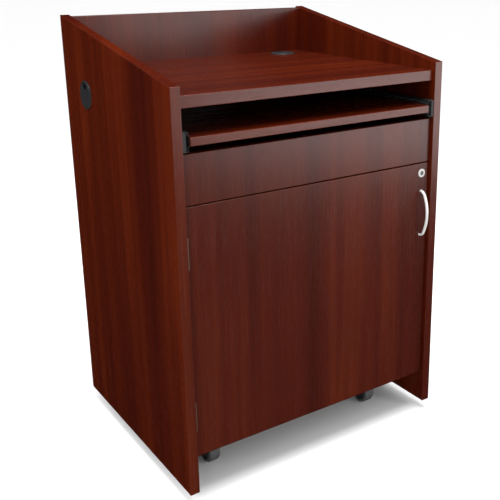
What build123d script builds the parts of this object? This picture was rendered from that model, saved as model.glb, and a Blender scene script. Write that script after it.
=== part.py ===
"""Lectern stand: a wheeled cabinet lectern in laminated board.

Millimetres, +Z up, front towards -Y, +X to the right of someone standing at the front.
The origin is on the floor, under the centre of the stand's outline.
"""
from build123d import *
import os
from math import cos, radians, sin, sqrt, tan

os.makedirs("parts", exist_ok=True)

# ---------------------------------------------------------------- carcass
stand_width = 800.0        # over the outer faces of the side panels
panel_depth = 665.0        # front edge to rear edge of a side panel
front_height = 1048.0      # floor to the side panels' tops at the front edge
top_slope = 10.0           # rise of the side panels' tops towards the rear, degrees
floor_gap = 32.0           # floor to the side panels' lower edges
side_board = 25.4
back_board = 25.4
bottom_board = 25.4
worktop_board = 28.0
apron_board = 19.0
door_board = 19.0
shelf_board = 19.0
tray_board = 20.0
edge_radius = 1.2          # easing on the boards' visible edges
front_setback = 10.0       # worktop and door faces behind the side panels' front edges
rail_height = 22.0         # side panels' tops above the worktop, at the front edge
apron_height = 119.5       # the fixed panel over the door
bay_height = 103.0         # underside of the worktop to the top of the fixed panel

# ---------------------------------------------------------------- door
door_drop = 3.4            # door's lower edge below the top of the cabinet floor
door_top_gap = 3.0
door_side_gap = 2.5
door_stop_gap = 8.0        # back of the door to the front edge of the floor panel

# ---------------------------------------------------------------- shelf
shelf_height = 430.0       # floor to the top of the adjustable shelf
shelf_side_gap = 1.5
shelf_front_gap = 45.0     # back of the door to the shelf's front edge
shelf_back_gap = 6.0
pin_radius = 2.5
pin_depth = 10.0           # depth of the pin holes in the side panels
pin_reach = 9.0            # length of pin that carries the shelf
pin_pitch = 32.0
pin_rows = 9               # holes in each column
pin_inset = 75.0           # shelf's front or back edge to the pins
fit_gap = 0.05             # radial clearance of pins and shafts in their holes

# ---------------------------------------------------------------- keyboard tray and slides
tray_depth = 420.0
tray_underside_gap = 18.5  # top of the fixed panel to the underside of the tray
slide_length = 400.0
slide_height = 45.0
slide_thickness = 12.7
slide_metal = 1.2
slide_setback = 1.5        # slides' front ends behind the side panels' front edges
packer_thickness = 6.5
outer_ball_space = 2.3     # between the cabinet and middle members' flanges
inner_ball_space = 3.3     # between the middle and tray members' flanges
cabinet_web_gap = 1.7      # between the cabinet and middle members' webs
cabinet_lip_gap = 3.2      # tray face of the slide to the cabinet member's flanges
middle_lip_gap = 0.5       # middle member's flanges to the tray member's web
tray_lip_gap = 1.1         # tray member's flanges to the middle member's web
slide_end_step = 3.0       # each member stops this far short of the one around it
slide_screw_radius = 2.0
slide_screw_head = 4.0
slide_screw_head_height = 1.1
slide_screw_depth = 12.0   # screw in the side panel
tray_screw_depth = 16.0    # screw in the tray's edge
slide_screw_shares = (0.15, 0.5, 0.85)    # places along the slide, as shares of its length

# ---------------------------------------------------------------- handle and lock
handle_inset = 27.6        # right edge of the cabinet opening to the handle and the lock
handle_centres = 128.0
handle_drop = 115.0        # lock's centre to the middle of the handle
handle_width = 9.0
handle_thickness = 6.5
handle_end_radius = 18.0
handle_end_turn = 64.0     # degrees that the bar turns through at each end
handle_screw_radius = 2.0
handle_screw_depth = 7.0
handle_screw_end_gap = 0.5
handle_screw_head = 4.0
handle_screw_head_height = 2.6
handle_screw_head_round = 1.0
lock_drop = 27.5           # door's upper edge to the lock's centre
lock_barrel_radius = 9.5
lock_face_lip = 2.5        # the round face beyond the barrel
lock_face_thickness = 2.2
lock_face_bevel = 0.8
lock_wall = 3.3            # barrel around the plug
lock_nut_lip = 4.0         # the nut's corners beyond the barrel
lock_nut_thickness = 3.5
lock_tail = 0.8            # barrel beyond its nut
plug_tail = 0.2            # plug beyond the barrel
plug_square = 6.0
keyway_width = 1.2
keyway_height = 7.2
keyway_depth = 12.0
cam_length = 38.0
cam_width = 14.0
cam_thickness = 2.0
cam_heel = 8.0             # lock's centre to the cam's rounded end
cam_crank = 13.0           # lock's centre to the bend in the cam
cam_bend = 1.0
cam_round = 0.45           # corner radius of the cam's heel, as a share of its width
cam_clearance = 0.6        # cam's tip to the back of the door and of the fixed panel
cam_screw_radius = 1.6
cam_screw_depth = 7.5
cam_screw_end_gap = 0.5
cam_screw_head = 5.0
cam_screw_head_height = 2.4
cam_screw_head_round = 0.9

# ---------------------------------------------------------------- hinges
hinge_length = 76.0
hinge_inset = 110.0        # door's top or bottom edge to the middle of a hinge
knuckle_radius = 2.4
knuckle_count = 5
knuckle_gap = 0.3
leaf_thickness = 1.0
hinge_pin_radius = 1.2
hinge_clear = 0.3          # knuckle to the door's face and to the side panel
hinge_button = 1.4         # height of the button at each end of a hinge pin
hinge_leaf_back = 1.0      # back of the door to the leaves' rear edges
hinge_screw_radius = 1.7
hinge_screw_head = 2.9
hinge_screw_length = 15.0
hinge_screw_spread = 0.36  # middle screw to the outer ones, as a share of the hinge's length
hinge_screw_back = 2.5     # middle of the door's thickness to the screws

# ---------------------------------------------------------------- cable grommets
grommet_hole_radius = 31.75
grommet_flange_lip = 6.25      # flange beyond the hole
grommet_flange_height = 3.0
grommet_flange_round = 1.8
grommet_seat = 0.5         # depth that the worktop's grommet is let into the board
grommet_wall = 2.0
grommet_tube = 22.0        # length of the liner below its flange
cap_lip = 2.25             # cap beyond the hole
cap_thickness = 2.0
cap_round = 0.6
cap_skirt = 8.0
cap_gap = 0.35
notch_width = 20.0
notch_inner = 13.0         # centre of the cap to the inner end of its cable notch
worktop_grommet_side = 104.6   # right side panel's inner face to the grommet's centre
worktop_grommet_back = 54.6    # back panel's front face to the grommet's centre
side_grommet_back = 154.0      # side panel's rear edge to the grommet's centre
side_grommet_gap = 0.5         # underside of the worktop to the side grommet's hole
worktop_cap_turn = 0.0         # degrees at rest from the notch straight back
side_cap_turn = 180.0          # degrees at rest from the notch straight down

# ---------------------------------------------------------------- panel connectors
cam_disc_radius = 7.5
cam_disc_depth = 12.5
connector_reach = 24.0     # joint to the centre of the cam disc
connector_bolt_radius = 3.5
connector_bolt_depth = 11.0    # depth of the bolt in the side panel
connector_inset = 60.0     # a panel's edge, or the board beside it, to its connectors

# ---------------------------------------------------------------- casters
caster_side_inset = 107.6  # side panel's inner face to a swivel axis
caster_end_inset = 125.0   # side panel's front or rear edge to a swivel axis
caster_trail = 30.0
wheel_radius = 38.0
wheel_tread = 32.0
wheel_gap = 15.0           # top of the wheel to the underside of the fork's crown
wheel_rim = 10.0           # tyre around the dished side of the wheel
wheel_dish = 4.0
hub_stand = 1.25           # hub beyond the tyre's side
hub_radius = 13.0
hub_gap = 1.0              # hub to a leg of the fork
tread_radius = 5.0
axle_radius = 5.0
axle_end = 7.0             # axle beyond the fork on the nut's side
axle_head_radius = 8.5
axle_head_height = 5.0
plate_width = 64.0
plate_length = 92.0
plate_thickness = 3.0
plate_corner = 8.0
plate_margin_x = 9.5       # plate's side edge to its screws
plate_margin_y = 10.0      # plate's end to its screws
race_radius = 26.0
race_height = 5.5
race_round = 1.5
race_gap = 0.3
king_pin_radius = 5.0
king_pin_lip = 4.0
king_pin_head = 3.0
fork_thickness = 3.0
fork_crown = 4.0
fork_race = 4.2
fork_race_inset = 1.5
fork_front = 20.0          # swivel axis to the crown's front edge
fork_back = 24.0           # swivel axis to the crown's rear edge
fork_foot = 14.0           # radius of a leg's end around the axle
fork_heel = 3.0            # leg's rear edge beyond its foot, just under the crown
fork_web = 4.0             # leg's depth below the crown at the front
fork_slope = 2.0           # leg's rear shoulder below the crown
lag_radius = 3.0
lag_gap = 0.4
lag_head = 5.5
lag_head_height = 3.0
lag_skin = 5.4             # board left above the caster screws
pedal_width = 30.0
pedal_thickness = 3.0
pedal_length = 32.0
pedal_lip = 9.0
pedal_sleeve = 1.8         # wall around the pedal's trunnions
pedal_pivot_radius = 2.5
pedal_pivot_back = 9.0     # behind the axle
pedal_pivot_drop = 4.0     # below the underside of the crown
pad_inset = 4.0            # pedal's side edge to its brake pad
pad_start = 8.0            # pivot to the brake pad
pad_length = 6.0
pad_gap = 0.6              # brake pad to the tyre

# ---------------------------------------------------------------- shared positions
inner_half = stand_width / 2 - side_board
caster_height = 2 * wheel_radius + wheel_gap + fork_crown + fork_race + race_gap + race_height \
    + plate_thickness
wheel_hub = wheel_tread + 2 * hub_stand
leg_inner = wheel_hub / 2 + hub_gap
leg_outer = leg_inner + fork_thickness
crown_height = 2 * wheel_radius + wheel_gap     # floor to the underside of the fork's crown
lag_depth = bottom_board - lag_skin
middle_web = slide_metal + cabinet_web_gap
middle_flange = slide_thickness - slide_metal - middle_lip_gap - middle_web
outer_flange = slide_thickness - cabinet_lip_gap
inner_flange = slide_thickness - middle_web - slide_metal - tray_lip_gap
middle_height = slide_height - 2 * (slide_metal + outer_ball_space)
inner_height = middle_height - 2 * (slide_metal + inner_ball_space)
lock_face_radius = lock_barrel_radius + lock_face_lip
lock_nut_radius = lock_barrel_radius + lock_nut_lip
lock_plug_radius = lock_barrel_radius - lock_wall
grommet_flange_radius = grommet_hole_radius + grommet_flange_lip
cap_radius = grommet_hole_radius + cap_lip
handle_big_radius = (handle_centres / 2 - handle_end_radius * (1 - cos(radians(handle_end_turn)))) \
    / cos(radians(handle_end_turn))
handle_reach = handle_big_radius \
    - (handle_big_radius - handle_end_radius) * sin(radians(handle_end_turn))
handle_overhang = handle_reach + handle_thickness / 2 - front_setback
front_y = -(panel_depth - handle_overhang) / 2      # side panels' front edges
rear_y = front_y + panel_depth
face_y = front_y + front_setback                    # faces of the worktop, apron and door
back_y = rear_y - back_board                        # front face of the back panel
rear_height = front_height + panel_depth * tan(radians(top_slope))
back_height = rear_height - back_board * tan(radians(top_slope))
worktop_height = front_height - rail_height         # floor to the working surface
worktop_under = worktop_height - worktop_board
apron_top = worktop_under - bay_height
apron_bottom = apron_top - apron_height
door_top = apron_bottom - door_top_gap
door_back_y = face_y + door_board
door_left = -inner_half + door_side_gap
door_right = inner_half - door_side_gap
floor_top = caster_height + bottom_board
door_bottom = floor_top - door_drop
bottom_front_y = door_back_y + door_stop_gap
tray_under = apron_top + tray_underside_gap
tray_top = tray_under + tray_board
tray_half = inner_half - packer_thickness - slide_thickness
slide_z = tray_under + tray_board / 2
slide_y = front_y + slide_setback
handle_x = inner_half - handle_inset
lock_height = door_top - lock_drop
handle_height = lock_height - handle_drop
lock_back_y = door_back_y + lock_nut_thickness + lock_tail
cam_y = lock_back_y + plug_tail                     # front face of the cam at the lock
cam_tip_y = face_y + max(door_board, apron_board) + cam_clearance
hinge_x = -inner_half + knuckle_radius + hinge_clear
hinge_y = face_y - knuckle_radius - hinge_clear
hinge_heights = {"upper": door_top - hinge_inset, "lower": door_bottom + hinge_inset}
worktop_grommet = (inner_half - worktop_grommet_side, back_y - worktop_grommet_back,
                   worktop_height - grommet_seat)
side_grommet = (-stand_width / 2, rear_y - side_grommet_back,
                worktop_under - side_grommet_gap - grommet_hole_radius)
shelf_front_y = door_back_y + shelf_front_gap
shelf_back_y = back_y - shelf_back_gap
shelf_under = shelf_height - shelf_board
pin_columns = (shelf_front_y + pin_inset, shelf_back_y - pin_inset)
caster_x = inner_half - caster_side_inset
caster_places = {
    "front_left": (-caster_x, front_y + caster_end_inset),
    "front_right": (caster_x, front_y + caster_end_inset),
    "rear_left": (-caster_x, rear_y - caster_end_inset),
    "rear_right": (caster_x, rear_y - caster_end_inset),
}


# ---------------------------------------------------------------- small builders
def block(x0, x1, y0, y1, z0, z1):
    """Box between two corners."""
    centre = Pos((x0 + x1) / 2, (y0 + y1) / 2, (z0 + z1) / 2)
    return centre * Box(abs(x1 - x0), abs(y1 - y0), abs(z1 - z0))


def rod_x(radius, x0, x1, y, z):
    """Cylinder along X."""
    return Pos((x0 + x1) / 2, y, z) * Rot(0, 90, 0) * Cylinder(radius, abs(x1 - x0))


def rod_y(radius, y0, y1, x, z):
    """Cylinder along Y."""
    return Pos(x, (y0 + y1) / 2, z) * Rot(90, 0, 0) * Cylinder(radius, abs(y1 - y0))


def rod_z(radius, z0, z1, x, y):
    """Cylinder along Z."""
    return Pos(x, y, (z0 + z1) / 2) * Cylinder(radius, abs(z1 - z0))


def group(solids):
    """Separate solids kept as one node."""
    return Compound(children=[solid for shape in solids for solid in shape.solids()])


def cut_all(shape, tools):
    """The shape with every tool cut away."""
    for tool in tools:
        shape = shape - tool
    return shape


def eased(shape, edges):
    """The shape with the given edges rounded over."""
    return fillet(edges, edge_radius)


# ---------------------------------------------------------------- panel connectors
def connector(side, y, z, disc_axis, disc_face):
    """Disc and bolt that hold a panel's end to a side panel, and the holes they need.

    disc_face is the coordinate, along disc_axis, of the panel face that the disc is let into.
    """
    joint_x = side * inner_half
    disc_x = joint_x - side * connector_reach
    if disc_axis == "z":
        disc = rod_z(cam_disc_radius, disc_face, disc_face + cam_disc_depth, disc_x, y)
        disc_hole = rod_z(cam_disc_radius + fit_gap, disc_face, disc_face + cam_disc_depth, disc_x, y)
    else:
        depth = cam_disc_depth if disc_axis == "y" else -cam_disc_depth
        disc = rod_y(cam_disc_radius, disc_face, disc_face + depth, disc_x, z)
        disc_hole = rod_y(cam_disc_radius + fit_gap, disc_face, disc_face + depth, disc_x, z)
    bolt_end = disc_x + side * (cam_disc_radius + fit_gap)
    bolt_start = joint_x + side * connector_bolt_depth
    bolt = rod_x(connector_bolt_radius, bolt_start, bolt_end, y, z)
    bolt_hole = rod_x(connector_bolt_radius + fit_gap, bolt_start, disc_x, y, z)
    return {"side": side, "pieces": [disc, bolt], "panel_holes": [disc_hole, bolt_hole],
            "side_holes": [bolt_hole]}


def connector_set():
    """Every panel connector, by the panel that it holds."""
    under = cam_disc_depth / 2
    worktop_ys = (face_y + connector_inset, back_y - connector_inset)
    bottom_ys = (bottom_front_y + connector_inset, back_y - connector_inset)
    back_zs = (floor_top + connector_inset, (floor_top + worktop_under) / 2, worktop_under - connector_inset)
    apron_z = (apron_top + apron_bottom) / 2
    table = {"worktop": [], "bottom_panel": [], "back_panel": [], "front_apron": []}
    for side in (-1, 1):
        for y in worktop_ys:
            table["worktop"].append(connector(side, y, worktop_under + under, "z", worktop_under))
        for y in bottom_ys:
            table["bottom_panel"].append(connector(side, y, caster_height + under, "z", caster_height))
        for z in back_zs:
            table["back_panel"].append(connector(side, back_y + under, z, "y", back_y))
        rear_face = face_y + apron_board
        table["front_apron"].append(connector(side, rear_face - under, apron_z, "-y", rear_face))
    return table


connectors = connector_set()


def panel_holes(panel):
    """Connector holes in one of the cross panels."""
    return [hole for item in connectors[panel] for hole in item["panel_holes"]]


def side_holes(side):
    """Connector holes in one side panel."""
    items = [item for panel in connectors.values() for item in panel if item["side"] == side]
    return [hole for item in items for hole in item["side_holes"]]


def panel_connectors():
    """All cam discs and their bolts."""
    return group([piece for panel in connectors.values() for item in panel for piece in item["pieces"]])


# ---------------------------------------------------------------- fasteners that pass into the boards
def slide_screw_places():
    """Positions of the slide screws along Y, measured to each screw's centre."""
    return [slide_y + slide_length * share for share in slide_screw_shares]


def slide_screw(side, y, clearance=0.0):
    """Flat-headed screw through the cabinet member and packer into a side panel."""
    web_x = side * (inner_half - packer_thickness - slide_metal)
    shank = rod_x(slide_screw_radius + clearance, web_x, side * (inner_half + slide_screw_depth), y, slide_z)
    head = rod_x(slide_screw_head, web_x, web_x - side * slide_screw_head_height, y, slide_z)
    return shank if clearance else shank + head


def tray_screw(side, y, clearance=0.0):
    """Flat-headed screw through the tray member into the tray's edge."""
    web_x = side * (tray_half + slide_metal)
    shank = rod_x(slide_screw_radius + clearance, web_x, side * (tray_half - tray_screw_depth), y, slide_z)
    head = rod_x(slide_screw_head, web_x, web_x + side * slide_screw_head_height, y, slide_z)
    return shank if clearance else shank + head


def hinge_screw_heights(middle):
    """Heights of the three screws in each leaf of a hinge."""
    return [middle + step * hinge_length * hinge_screw_spread for step in (-1, 0, 1)]


def hinge_screw(side, z, clearance=0.0):
    """Countersunk screw in the side panel's leaf (side -1) or in the door's leaf (side 1)."""
    y = (door_back_y + face_y) / 2 + hinge_screw_back
    surface = -inner_half if side < 0 else door_left
    outer = surface - side * leaf_thickness
    shank = rod_x(hinge_screw_radius + clearance, surface, surface + side * hinge_screw_length, y, z)
    cone = Cone(hinge_screw_head + clearance, hinge_screw_radius + clearance, leaf_thickness)
    cone = Pos((surface + outer) / 2, y, z) * Rot(0, 90 * side, 0) * cone
    return shank + cone


def lag_places(place):
    """Centres of the four screws of a caster."""
    x, y = place
    half_x = plate_width / 2 - plate_margin_x
    half_y = plate_length / 2 - plate_margin_y
    return [(x + i * half_x, y + j * half_y) for i in (-1, 1) for j in (-1, 1)]


# ---------------------------------------------------------------- boards
def side_panel(side):
    """Side panel with a sloping top, connector holes and shelf-pin holes."""
    outer = side * stand_width / 2
    outline = Polyline((front_y, floor_gap), (rear_y, floor_gap), (rear_y, rear_height),
                       (front_y, front_height), close=True)
    inner_face = Plane(origin=(min(outer, side * inner_half), 0, 0), x_dir=(0, 1, 0), z_dir=(1, 0, 0))
    panel = extrude(inner_face * make_face(outline), side_board)
    panel = eased(panel, panel.edges())
    holes = side_holes(side)
    first_row = shelf_under - pin_radius - pin_pitch * (pin_rows // 2)
    for y in pin_columns:
        for row in range(pin_rows):
            z = first_row + row * pin_pitch
            hole_end = side * (inner_half + pin_depth)
            holes.append(rod_x(pin_radius + fit_gap, side * inner_half, hole_end, y, z))
    holes += [slide_screw(side, y, fit_gap) for y in slide_screw_places()]
    if side < 0:
        x, y, z = side_grommet
        holes.append(rod_x(grommet_hole_radius, x, x + side_board, y, z))
        for middle in hinge_heights.values():
            holes += [hinge_screw(-1, height, fit_gap) for height in hinge_screw_heights(middle)]
    return cut_all(panel, holes)


def back_panel():
    """Back panel, flush with the side panels' rear edges."""
    panel = block(-inner_half, inner_half, back_y, rear_y, caster_height, back_height)
    panel = eased(panel, panel.edges().filter_by(Axis.X).group_by(Axis.Z)[-1])
    return cut_all(panel, panel_holes("back_panel"))


def worktop():
    """Worktop between the side panels, with a hole and a shallow seat for its cable grommet."""
    panel = block(-inner_half, inner_half, face_y, back_y, worktop_under, worktop_height)
    panel = eased(panel, panel.edges().filter_by(Axis.X).group_by(Axis.Y)[0])
    x, y, z = worktop_grommet
    hole = rod_z(grommet_hole_radius, worktop_under, worktop_height, x, y)
    seat = rod_z(grommet_flange_radius + fit_gap, z, worktop_height, x, y)
    return cut_all(panel, panel_holes("worktop") + [hole, seat])


def bottom_panel():
    """Cabinet floor, which carries the casters."""
    panel = block(-inner_half, inner_half, bottom_front_y, back_y, caster_height, floor_top)
    panel = eased(panel, panel.edges().filter_by(Axis.X).group_by(Axis.Y)[0])
    holes = panel_holes("bottom_panel")
    for place in caster_places.values():
        for x, y in lag_places(place):
            holes.append(rod_z(lag_radius + fit_gap, caster_height, caster_height + lag_depth, x, y))
    return cut_all(panel, holes)


def front_apron():
    """Fixed panel between the keyboard bay and the door."""
    panel = block(-inner_half, inner_half, face_y, face_y + apron_board, apron_bottom, apron_top)
    panel = eased(panel, panel.edges().filter_by(Axis.X).group_by(Axis.Y)[0])
    return cut_all(panel, panel_holes("front_apron"))


def adjustable_shelf():
    """Loose shelf that rests on four pins."""
    half = inner_half - shelf_side_gap
    panel = block(-half, half, shelf_front_y, shelf_back_y, shelf_under, shelf_height)
    return eased(panel, panel.edges().filter_by(Axis.X).group_by(Axis.Y)[0])


def shelf_pins():
    """Four pins under the shelf."""
    z = shelf_under - pin_radius
    ends = [(side, y) for side in (-1, 1) for y in pin_columns]
    return group([rod_x(pin_radius, side * (inner_half - pin_reach), side * (inner_half + pin_depth), y, z)
                  for side, y in ends])


def door():
    """Inset door with holes for the lock, the handle's screws and the hinges' screws."""
    panel = block(door_left, door_right, face_y, door_back_y, door_bottom, door_top)
    panel = eased(panel, panel.faces().sort_by(Axis.Y)[0].edges())
    holes = [rod_y(lock_barrel_radius + fit_gap, face_y, door_back_y, handle_x, lock_height)]
    for z in handle_ends():
        holes.append(rod_y(handle_screw_radius + fit_gap, face_y, door_back_y, handle_x, z))
    for middle in hinge_heights.values():
        holes += [hinge_screw(1, height, fit_gap) for height in hinge_screw_heights(middle)]
    return cut_all(panel, holes)


# ---------------------------------------------------------------- keyboard tray and slides
def keyboard_tray():
    """Pull-out tray board."""
    panel = block(-tray_half, tray_half, front_y, front_y + tray_depth, tray_under, tray_top)
    panel = eased(panel, panel.edges().filter_by(Axis.X).group_by(Axis.Y)[0])
    holes = [tray_screw(side, y, fit_gap) for side in (-1, 1) for y in slide_screw_places()]
    return cut_all(panel, holes)


def slide_packer(side):
    """Strip that sets a slide in from its side panel."""
    strip = block(side * inner_half, side * (inner_half - packer_thickness), slide_y,
                  slide_y + slide_length, slide_z - slide_height / 2, slide_z + slide_height / 2)
    return cut_all(strip, [slide_screw(side, y, fit_gap) for y in slide_screw_places()])


def channel(side, web_depth, flange, height, opens_to_tray, shorter):
    """One rolled channel of a slide; depths run from the packer towards the tray."""
    face = side * (inner_half - packer_thickness)
    web_x = face - side * web_depth
    direction = -side if opens_to_tray else side
    start = slide_y + shorter
    end = slide_y + slide_length - shorter
    outer = block(web_x, web_x + direction * flange, start, end, slide_z - height / 2, slide_z + height / 2)
    outer = fillet(outer.edges().filter_by(Axis.Y), slide_metal * 0.9)
    hollow = block(web_x + direction * slide_metal, web_x + direction * (flange + slide_metal),
                   start, end, slide_z - height / 2 + slide_metal, slide_z + height / 2 - slide_metal)
    return outer - hollow


def slide_cabinet_member(side):
    """Outer channel, screwed to the side panel."""
    member = channel(side, 0.0, outer_flange, slide_height, True, 0.0)
    return cut_all(member, [slide_screw(side, y, fit_gap) for y in slide_screw_places()])


def slide_middle_member(side):
    """Middle channel, which runs out half as far as the tray."""
    return channel(side, middle_web, middle_flange, middle_height, True, slide_end_step)


def slide_tray_member(side):
    """Inner channel, screwed to the tray's edge."""
    member = channel(side, slide_thickness, inner_flange, inner_height, False, slide_end_step * 2)
    return cut_all(member, [tray_screw(side, y, fit_gap) for y in slide_screw_places()])


# ---------------------------------------------------------------- handle and lock
def handle_ends():
    """Heights of the handle's two fixings."""
    return (handle_height - handle_centres / 2, handle_height + handle_centres / 2)


def door_handle():
    """Bow handle: a flat oval bar bent through three arcs, square to the door at its ends."""
    turn = radians(handle_end_turn)
    rise = handle_end_radius * (1 - cos(turn))
    reach = handle_end_radius * sin(turn)
    low, high = handle_ends()

    def point(out, height):
        return (handle_x, face_y - out, height)

    half = turn / 2
    first_mid = point(handle_end_radius * sin(half), low + handle_end_radius * (1 - cos(half)))
    last_mid = point(handle_end_radius * sin(half), high - handle_end_radius * (1 - cos(half)))
    crown = point(handle_reach, handle_height)
    path = ThreePointArc(point(0, low), first_mid, point(reach, low + rise)) \
        + ThreePointArc(point(reach, low + rise), crown, point(reach, high - rise)) \
        + ThreePointArc(point(reach, high - rise), last_mid, point(0, high))
    start = Plane(origin=point(0, low), x_dir=(1, 0, 0), z_dir=(0, -1, 0))
    bar = sweep(start * Ellipse(handle_width / 2, handle_thickness / 2), path=path)
    holes = [rod_y(handle_screw_radius + fit_gap, face_y, face_y - handle_screw_depth, handle_x, z)
             for z in handle_ends()]
    return cut_all(bar, holes)


def handle_screws():
    """Two machine screws through the door into the handle."""
    screws = []
    for z in handle_ends():
        tip = face_y - handle_screw_depth + handle_screw_end_gap
        shank = rod_y(handle_screw_radius, tip, door_back_y, handle_x, z)
        head = rod_y(handle_screw_head, door_back_y, door_back_y + handle_screw_head_height, handle_x, z)
        screws.append(shank + fillet(head.edges().group_by(Axis.Y)[-1], handle_screw_head_round))
    return group(screws)


def lock_barrel():
    """Lock body with its round face, through the door."""
    face = rod_y(lock_face_radius, face_y - lock_face_thickness, face_y, handle_x, lock_height)
    face = chamfer(face.edges().group_by(Axis.Y)[0], lock_face_bevel)
    tube = rod_y(lock_barrel_radius, face_y, lock_back_y, handle_x, lock_height)
    bore = rod_y(lock_plug_radius + fit_gap, face_y - lock_face_thickness, lock_back_y, handle_x, lock_height)
    return face + tube - bore


def lock_nut():
    """Hexagon nut that clamps the barrel to the door."""
    section = Plane(origin=(handle_x, door_back_y, lock_height), x_dir=(1, 0, 0), z_dir=(0, 1, 0))
    nut = extrude(section * RegularPolygon(lock_nut_radius, 6), lock_nut_thickness)
    return nut - rod_y(lock_barrel_radius + fit_gap, door_back_y, door_back_y + lock_nut_thickness,
                       handle_x, lock_height)


def lock_plug():
    """Turning plug with a keyway in its face and a square tail for the cam."""
    front = face_y - lock_face_thickness
    half = plug_square / 2
    plug = rod_y(lock_plug_radius, front, cam_y, handle_x, lock_height)
    tail = block(handle_x - half, handle_x + half, cam_y, cam_y + cam_thickness,
                 lock_height - half, lock_height + half)
    keyway = block(handle_x - keyway_width / 2, handle_x + keyway_width / 2, front, front + keyway_depth,
                   lock_height - keyway_height / 2, lock_height + keyway_height / 2)
    screw_hole = rod_y(cam_screw_radius + fit_gap, lock_back_y - cam_screw_depth - cam_screw_end_gap,
                       cam_y + cam_thickness, handle_x, lock_height)
    return plug + tail - keyway - screw_hole


def lock_cam():
    """Cranked latch plate, which lies behind the apron when it points up."""
    bend = cam_y - cam_tip_y
    reach = ((cam_heel, cam_y), (-cam_crank, cam_y), (-cam_crank - bend, cam_tip_y), (-cam_length, cam_tip_y),
             (-cam_length, cam_tip_y + cam_thickness),
             (-cam_crank - cam_bend - bend, cam_tip_y + cam_thickness),
             (-cam_crank - cam_bend, cam_y + cam_thickness), (cam_heel, cam_y + cam_thickness))
    outline = Polyline(*[(handle_x + x, y) for x, y in reach], close=True)
    level = Plane(origin=(0, 0, lock_height - cam_width / 2), x_dir=(1, 0, 0), z_dir=(0, 0, 1))
    cam = extrude(level * make_face(outline), cam_width)
    cam = fillet(cam.edges().filter_by(Axis.Y).group_by(Axis.X)[-1], cam_width * cam_round)
    half = plug_square / 2 + fit_gap
    square = block(handle_x - half, handle_x + half, cam_y, cam_y + cam_thickness,
                   lock_height - half, lock_height + half)
    return cam - square


def cam_screw():
    """Screw that holds the cam on the plug."""
    rear = cam_y + cam_thickness
    shank = rod_y(cam_screw_radius, lock_back_y - cam_screw_depth, rear, handle_x, lock_height)
    head = rod_y(cam_screw_head, rear, rear + cam_screw_head_height, handle_x, lock_height)
    return shank + fillet(head.edges().group_by(Axis.Y)[-1], cam_screw_head_round)


# ---------------------------------------------------------------- hinges
def knuckle_spans(middle, own):
    """Height ranges of the knuckles that belong to one leaf; own is 0 or 1."""
    pitch = hinge_length / knuckle_count
    low = middle - hinge_length / 2
    return [(low + i * pitch + knuckle_gap / 2, low + (i + 1) * pitch - knuckle_gap / 2)
            for i in range(knuckle_count) if i % 2 == own]


def hinge_leaf(middle, own):
    """Leaf on the side panel (own 0) or on the door's edge (own 1), with its knuckles."""
    surface = -inner_half if own == 0 else door_left
    inner = surface + leaf_thickness if own == 0 else surface - leaf_thickness
    leaf_front = hinge_y + knuckle_radius + 2 * hinge_clear
    leaf = block(surface, inner, leaf_front, door_back_y - hinge_leaf_back,
                 middle - hinge_length / 2, middle + hinge_length / 2)
    for low, high in knuckle_spans(middle, own):
        leaf += block(surface, inner, hinge_y, leaf_front, low, high)
        leaf += rod_z(knuckle_radius, low, high, hinge_x, hinge_y)
    side = -1 if own == 0 else 1
    cuts = [hinge_screw(side, z, fit_gap) for z in hinge_screw_heights(middle)]
    cuts.append(rod_z(hinge_pin_radius + fit_gap, middle - hinge_length, middle + hinge_length,
                      hinge_x, hinge_y))
    return cut_all(leaf, cuts)


def hinge_pins():
    """The pins of both hinges, each with a button head at either end."""
    pins = []
    for middle in hinge_heights.values():
        low = middle - hinge_length / 2
        high = middle + hinge_length / 2
        pin = rod_z(hinge_pin_radius, low, high, hinge_x, hinge_y)
        pin += rod_z(knuckle_radius, high, high + hinge_button, hinge_x, hinge_y)
        pin += rod_z(knuckle_radius, low - hinge_button, low, hinge_x, hinge_y)
        pins.append(pin)
    return group(pins)


def hinge_screws(side):
    """Screws of the side-panel leaves (side -1) or of the door leaves (side 1)."""
    return group([hinge_screw(side, z) for middle in hinge_heights.values()
                  for z in hinge_screw_heights(middle)])


# ---------------------------------------------------------------- cable grommets
def grommet_frame(place, outward):
    """Plane on the board's face, its normal pointing out of the board."""
    return Plane(origin=place, x_dir=(0, 1, 0) if outward == "-x" else (1, 0, 0),
                 z_dir=(-1, 0, 0) if outward == "-x" else (0, 0, 1))


def grommet_liner(place, outward):
    """Flanged tube that lines the hole, with a recess for the cap."""
    flange = Pos(0, 0, grommet_flange_height / 2) * Cylinder(grommet_flange_radius, grommet_flange_height)
    flange = fillet(flange.edges().group_by(Axis.Z)[-1], grommet_flange_round)
    tube = Pos(0, 0, -grommet_tube / 2) * Cylinder(grommet_hole_radius - fit_gap, grommet_tube)
    through = Pos(0, 0, -grommet_tube / 2 + grommet_flange_height / 2) \
        * Cylinder(grommet_hole_radius - fit_gap - grommet_wall, grommet_tube + grommet_flange_height)
    recess_depth = cap_thickness + cap_gap
    recess = Pos(0, 0, grommet_flange_height - recess_depth / 2) \
        * Cylinder(cap_radius + cap_gap, recess_depth)
    return grommet_frame(place, outward) * (flange + tube - through - recess)


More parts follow.
